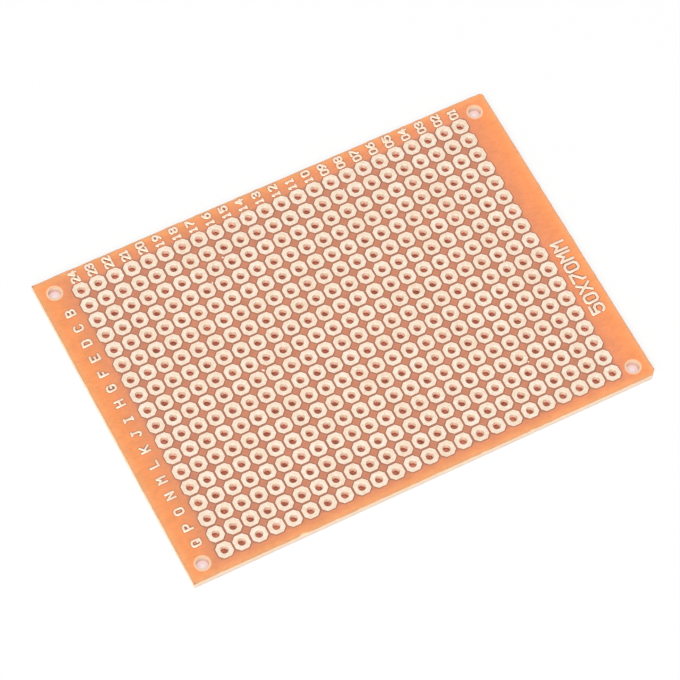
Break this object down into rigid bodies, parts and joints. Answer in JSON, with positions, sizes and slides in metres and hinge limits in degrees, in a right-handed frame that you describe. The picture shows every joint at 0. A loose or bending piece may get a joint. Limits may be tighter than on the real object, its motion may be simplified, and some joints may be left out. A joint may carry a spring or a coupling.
{
  "type": "prototype board",
  "caption": "Single-sided prototype board: punched phenolic laminate with a grid of bare eight-sided pads, etched grid marks and a mounting hole in each corner.",
  "frame": {"origin": "centre of the bottom face of the board's outline", "axes": "+X along the length from column 24 to column 01, +Y along the width from the last row to row A, +Z out of the copper side"},
  "size_m": [0.0696, 0.0496, 0.0013],
  "materials": {
    "paper_phenolic": "satin, warm orange, paper phenolic laminate",
    "tinned_foil": "pale tinned copper foil, satin"
  },
  "bodies": {
    "root": {"laminate": "paper_phenolic", "pads_row_a": "tinned_foil", "pads_row_b": "tinned_foil", "pads_row_c": "tinned_foil", "pads_row_d": "tinned_foil", "pads_row_e": "tinned_foil", "pads_row_f": "tinned_foil", "pads_row_g": "tinned_foil", "pads_row_h": "tinned_foil", "pads_row_i": "tinned_foil", "pads_row_j": "tinned_foil", "pads_row_k": "tinned_foil", "pads_row_l": "tinned_foil", "pads_row_m": "tinned_foil", "pads_row_n": "tinned_foil", "pads_row_o": "tinned_foil", "pads_row_p": "tinned_foil", "pads_row_q": "tinned_foil", "pads_row_r": "tinned_foil", "column_numbers": "tinned_foil", "row_letters": "tinned_foil", "size_mark": "tinned_foil"}
  },
  "joints": []
}
